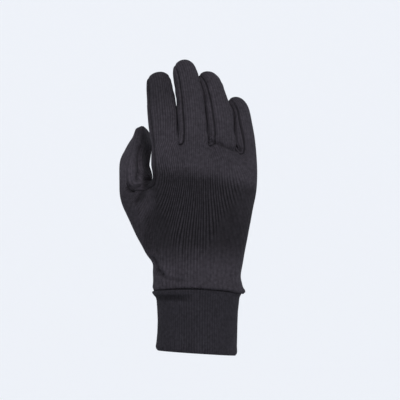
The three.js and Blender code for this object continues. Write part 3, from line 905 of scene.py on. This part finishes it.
def cloth_object(name, points, faces, rounded, knit, painted_shade_distance, material):
    """A piece of cloth from points in millimetres and four-cornered faces, with which of them are
    shaded round, the knit's coordinates at each corner, and each point's distance from painted
    shade, kept as the seam attribute."""
    mesh = bpy.data.meshes.new(name)
    mesh.from_pydata(points / 1000, [], faces)
    mesh.uv_layers.new(name="knit").data.foreach_set("uv", (knit / uv_scale).ravel())
    mesh.polygons.foreach_set("use_smooth", rounded)
    # The seam attribute carries the painted shade distance
    mesh.attributes.new("seam", "FLOAT", "POINT").data.foreach_set("value", painted_shade_distance)
    mesh.materials.append(material)
    made = bpy.data.objects.new(name, mesh)
    bpy.context.scene.collection.objects.link(made)
    return made


for piece, name in enumerate(piece_names):
    mine = cloth.piece_of == piece
    used, outer = np.unique(quads[mine], return_inverse=True)
    outer = outer.reshape(-1, 4)
    knit = cloth.values[:, :2].reshape(-1, 4, 2)[mine]
    # Where an edge has no face on its other side, a narrow face joins the outer and inner cloth
    n = len(used)
    after = np.roll(outer, -1, 1)
    rim = ~np.isin(after * n + outer, outer * n + after)
    a, b = outer[rim], after[rim]
    knit_a, knit_b = knit[rim], np.roll(knit, -1, 1)[rim]
    rim_faces = np.stack([b, a, a + n, b + n], -1)
    rim_knit = np.stack([knit_b, knit_a, knit_a, knit_b], 1)
    faces = np.concatenate([outer, outer[:, ::-1] + n, rim_faces])
    cloth_piece = cloth_object(
        name + "_cloth", np.concatenate([points[used], inner_points[used]]), faces,
        np.arange(len(faces)) < 2 * len(outer), np.concatenate([knit, knit[:, ::-1], rim_knit]),
        np.tile(painted_shade_distance[used], 2), hand_knit)
    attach(cloth_piece, "root")
    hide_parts(name)


# Cuff: one band of the same knit, folded double at its mouth and sewn to the hand's edge at the
# top, where the seam makes a soft roll.
cuff_wall = 2.4
cuff_width = 65
cuff_depth = 44
cuff_mouth_slant = 4.1
cuff_square = 2.05
cuff_girth = 175
cuff_ease = 0.3
cuff_lip = 0.9
top_narrowing = 1.6
seam_gap = 0.05
outer_share = 0.6
cuff_rows = 120
cuff_sides = 288

# How far the cloth stands out from the cuff's straight tube, up its length: at the thumb's side
# the seam's roll is full, at the little finger's side the hand's cloth rolls over it
cuff_swell = dict(
    at=[0, 0.03, 0.07, 0.15, 0.3, 0.5, 0.7, 0.84, 0.885, 0.92, 0.95, 0.975, 0.99, 1],
    thumb_side=[-0.9, 0.5, 0.9, 0.3, -0.4, -0.7, -0.3, 0.2, 0.7, 2.2, 3.4, 3.8, 3.4, 2.4],
    little_side=[-1.5, -0.3, 0, -0.2, 0, 0.2, 0.6, 1.4, 1.6, 1.9, 2.5, 3.3, 3.2, 2.6],
)


def cuff_surface(along, turn):
    """A closed section carried round an oval: up the outside to the roll at the top, over the
    top, and down the inside; along goes from 0 at the fold to 1 back at it, turn is the angle."""
    height = np.where(along < outer_share, along / outer_share, (1 - along) / (1 - outer_share))
    angle = np.radians(turn)
    share = (1 - np.cos(angle)) / 2
    swell = mix(column(cuff_swell, "little_side", height),
                column(cuff_swell, "thumb_side", height), share)
    inside = mix(-cuff_lip, -cuff_wall, smooth(0, 0.04, height))
    grow = np.where(along <= outer_share, swell, inside)
    half = cuff_width / 2 - cuff_ease + grow
    depth = cuff_depth / 2 - top_narrowing * smooth(0.8, 1, height) + grow
    mouth = -cuff_mouth_slant / 2 * np.cos(angle)
    z = mix(mouth, seam_height(turn) - seam_gap, height)
    x = half * superpower(np.cos(angle), cuff_square)
    return np.stack([x, -depth * superpower(np.sin(angle), cuff_square), z], -1)


def cuff_zone(x, y, z):
    """Even, but with painted shade in the hollow below the roll at the thumb's side; the ribs show
    most in the middle."""
    light = largest(z.rise(44, 40.5), z.rise(45.8, 48.2), x.rise(-16, 2))
    return light, abs(x).rise(6, 24)


# The cuff's dark colour is the painted shade below the roll
cuff_knit = knit_material("cuff_knit", light=(0.0170, 0.0156, 0.0192),
                          dark=(0.0080, 0.0074, 0.0091), pitch=1.75, course=1.4,
                          contrast=(0.45, 0.22), zone=cuff_zone)

along = np.linspace(0, 1, cuff_rows, endpoint=False)[:, None]
turn = np.linspace(0, 360, cuff_sides, endpoint=False)[None, :]
along, turn = np.broadcast_arrays(along, turn)
cuff_points = cuff_surface(along, turn).reshape(-1, 3)
turn = turn.ravel()
ids = np.arange(cuff_rows * cuff_sides).reshape(cuff_rows, cuff_sides)
after, above = np.roll(ids, -1, 1), np.roll(ids, -1, 0)
cuff_quads = np.stack([ids, after, np.roll(after, -1, 0), above], -1)[:, ::-1].reshape(-1, 4)
# The knit's coordinates run round the cuff and up it; where they start again they run on instead
around = turn[cuff_quads] / 360 * cuff_girth
wraps = np.ptp(around, axis=1)[:, None] > cuff_girth / 2
around = np.where(wraps & (around < cuff_girth / 2), around + cuff_girth, around)
# Painted shade along the cuff's seam, narrower at the thumb's side
cuff_painted_shade_distance = ((seam_height(turn) - cuff_points[:, 2])
               * mix(1.8, 0.8, smooth(-30, 0, cuff_points[:, 0])))
cuff = cloth_object("cuff_cloth", cuff_points, cuff_quads, np.ones(len(cuff_quads), bool),
                    np.stack([around, cuff_points[cuff_quads, 2]], -1), cuff_painted_shade_distance, cuff_knit)
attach(cuff, "root")
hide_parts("cuff")


# Studio: a plain pale round room, floor and wall in one sweep, wide enough to look at the glove
# from any side, and see-through from outside. The glove is held up above its floor. Soft light
# comes from the world above, a large panel high in front, and a weaker one at each side.
room_radius, room_floor, room_top, room_bend = 7.0, -0.5, 5.0, 2.0
room_sides = 96
bend = np.linspace(0, np.pi / 2, 16)
flat_radius = room_radius - room_bend
flat = np.linspace(0.01, 1, 8)[:-1] * flat_radius
profile = np.concatenate([
    np.stack([flat, np.full_like(flat, room_floor)], -1),
    np.stack([flat_radius + room_bend * np.sin(bend),
              room_floor + room_bend - room_bend * np.cos(bend)], -1),
    [[room_radius, room_top]],
])
turn = np.linspace(0, 2 * np.pi, room_sides, endpoint=False)
room_points = np.stack([profile[:, :1] * np.cos(turn), profile[:, :1] * np.sin(turn),
                        profile[:, 1:] + 0 * turn], -1)
ids = np.arange(room_points[..., 0].size).reshape(room_points.shape[:2])
after = np.roll(ids, -1, 1)
room_quads = np.stack([ids[:-1], ids[1:], after[1:], after[:-1]], -1).reshape(-1, 4)
mesh = bpy.data.meshes.new("room")
mesh.from_pydata(room_points.reshape(-1, 3), [], [*room_quads, ids[0]])
mesh.polygons.foreach_set("use_smooth", np.ones(len(mesh.polygons), bool))

paper = bpy.data.materials.new("paper")
paper.use_nodes = True
paper.node_tree.nodes.clear()
start = Term(paper.node_tree)
matt = start.node("BsdfPrincipled", None, {
    "Base Color": (0.4, 0.41, 0.43, 1), "Roughness": 1, "Specular IOR Level": 0,
    "Emission Color": (0.945, 0.965, 1, 1), "Emission Strength": 0.57})
outside = start.node("NewGeometry", None, None, "Backfacing")
one_sided = start.node("MixShader", None, {0: outside, 1: matt, 2: start.node("BsdfTransparent")})
start.node("OutputMaterial", None, {0: one_sided})
mesh.materials.append(paper)
room = bpy.data.objects.new("room", mesh)
bpy.context.scene.collection.objects.link(room)

world = bpy.data.worlds.new("studio")
world.use_nodes = True
sky = world.node_tree.nodes["Background"]
sky.inputs["Color"].default_value = (0.92, 0.95, 1, 1)
sky.inputs["Strength"].default_value = 0.7
bpy.context.scene.world = world
glove_middle = np.array([0, 0, 0.12])


def soft_light(name, place, size, power):
    """A square light panel at a place, turned towards the glove."""
    data = bpy.data.lights.new(name, "AREA")
    data.size = size
    data.energy = power
    panel = bpy.data.objects.new(name, data)
    panel.location = place
    way = unit(glove_middle - place)
    panel.rotation_euler = (np.arccos(-way[2]), 0, np.arctan2(way[1], way[0]) - np.pi / 2)
    bpy.context.scene.collection.objects.link(panel)


soft_light("front_panel", (0.35, -1.9, 1.2), size=1.1, power=28.3)
soft_light("right_panel", (1.9, -0.9, 0.8), size=0.9, power=3)
soft_light("left_panel", (-1.9, -0.9, 0.8), size=0.9, power=3)
bpy.context.scene.view_settings.view_transform = "Standard"
